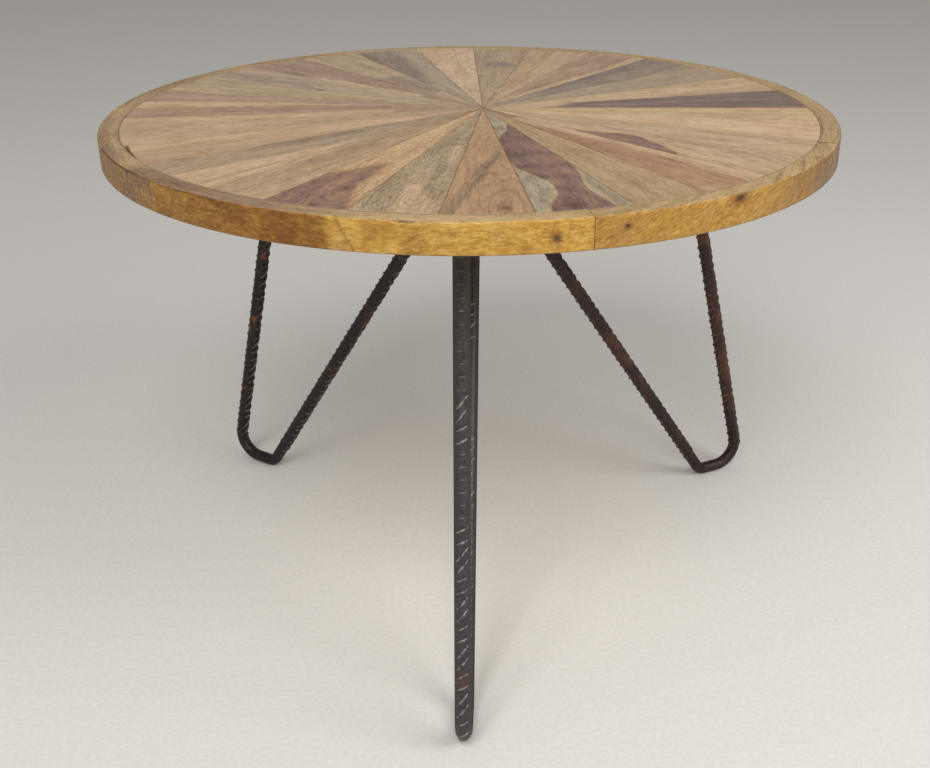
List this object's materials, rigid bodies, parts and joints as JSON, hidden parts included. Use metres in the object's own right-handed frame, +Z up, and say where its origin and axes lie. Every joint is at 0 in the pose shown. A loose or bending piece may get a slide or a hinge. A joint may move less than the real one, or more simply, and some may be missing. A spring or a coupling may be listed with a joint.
{
  "type": "coffee table",
  "caption": "Round wooden coffee table: a starburst of wedge planks in a curved wood rim, standing on bent reinforcing-bar hairpin legs.",
  "frame": {"origin": "on the floor, under the middle of the rim", "axes": "+Z up, -Y towards the front leg, +X to the right seen from the front"},
  "size_m": [0.6, 0.6091, 0.416],
  "materials": {
    "rim_wood": "satin lacquer over golden hardwood",
    "plank_wood_pale": "satin lacquer over pale sapwood offcuts",
    "plank_wood_tan": "satin lacquer over tan offcuts",
    "plank_wood_olive": "satin lacquer over olive brown offcuts",
    "plank_wood_grey": "satin lacquer over grey brown offcuts",
    "plank_wood_red": "satin lacquer over red-brown offcuts",
    "plank_wood_dark": "satin lacquer over dark grey-brown offcuts",
    "plank_wood_orange": "satin lacquer over orange-brown offcuts",
    "plank_wood_heart": "satin lacquer over two-tone heartwood offcuts",
    "board_wood": "sanded plywood",
    "bar_steel": "dark mill scale with rust, clear lacquered",
    "plate_steel": "dark mill scale, clear lacquered",
    "screw_steel": "zinc plated"
  },
  "bodies": {
    "root": {"rim_segment_1": "rim_wood", "rim_segment_2": "rim_wood", "rim_segment_3": "rim_wood", "rim_segment_4": "rim_wood", "rim_segment_5": "rim_wood", "rim_segment_6": "rim_wood", "rim_segment_7": "rim_wood", "rim_segment_8": "rim_wood", "rim_segment_9": "rim_wood", "plank_01": "plank_wood_dark", "plank_02": "plank_wood_pale", "plank_03": "plank_wood_olive", "plank_04": "plank_wood_grey", "plank_05": "plank_wood_red", "plank_06": "plank_wood_tan", "plank_07": "plank_wood_grey", "plank_08": "plank_wood_pale", "plank_09": "plank_wood_dark", "plank_10": "plank_wood_olive", "plank_11": "plank_wood_red", "plank_12": "plank_wood_grey", "plank_13": "plank_wood_olive", "plank_14": "plank_wood_red", "plank_15": "plank_wood_red", "plank_16": "plank_wood_olive", "plank_17": "plank_wood_tan", "plank_18": "plank_wood_grey", "plank_19": "plank_wood_tan", "plank_20": "plank_wood_heart", "plank_21": "plank_wood_grey", "plank_22": "plank_wood_orange", "plank_23": "plank_wood_heart", "plank_24": "plank_wood_olive", "plank_25": "plank_wood_red", "plank_26": "plank_wood_tan", "plank_27": "plank_wood_tan", "plank_28": "plank_wood_pale", "plank_29": "plank_wood_olive", "backing_board": "board_wood", "front_leg": "bar_steel", "front_leg_plate": "plate_steel", "right_leg": "bar_steel", "right_leg_plate": "plate_steel", "left_leg": "bar_steel", "left_leg_plate": "plate_steel", "hub_plate": "plate_steel", "leg_plate_screws": "screw_steel", "hub_plate_screws": "screw_steel"}
  },
  "joints": []
}
